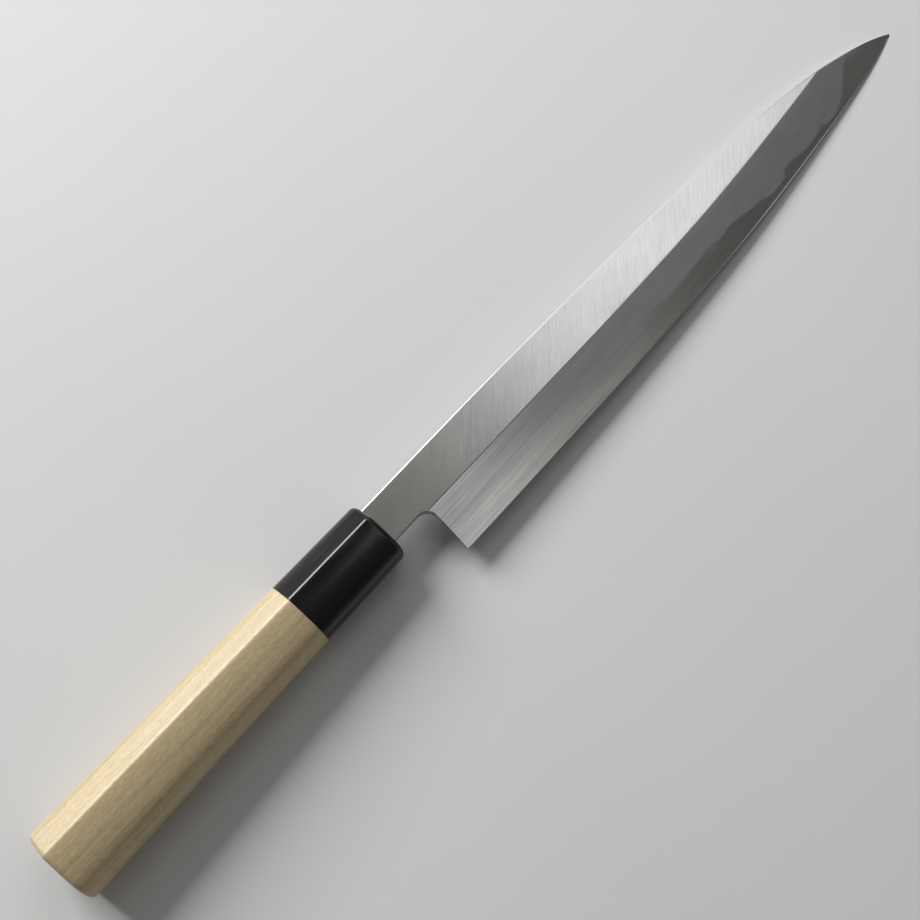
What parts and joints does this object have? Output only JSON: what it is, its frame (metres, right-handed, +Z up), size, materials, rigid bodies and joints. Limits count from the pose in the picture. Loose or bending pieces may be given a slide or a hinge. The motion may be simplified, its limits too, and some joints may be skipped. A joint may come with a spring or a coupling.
{
  "type": "yanagiba slicing knife",
  "caption": "Long single-bevel slicing knife: laminated blade with a hollow-ground back, tapering wooden handle with a ridge, and a horn ferrule.",
  "frame": {"origin": "middle of the footprint, on the surface that the knife lies on", "axes": "+X along the knife to its tip, +Y to the spine, +Z up, out of the bevelled front of the blade"},
  "size_m": [0.3826, 0.0366, 0.0224],
  "materials": {
    "wood": "unfinished",
    "horn": "polished",
    "seal": "satin",
    "iron": "ground",
    "steel": "ground"
  },
  "bodies": {
    "root": {"handle_wood": "wood", "ferrule_horn": "horn", "tang_seal": "seal", "blade_iron": "iron", "blade_steel": "steel"}
  },
  "joints": []
}
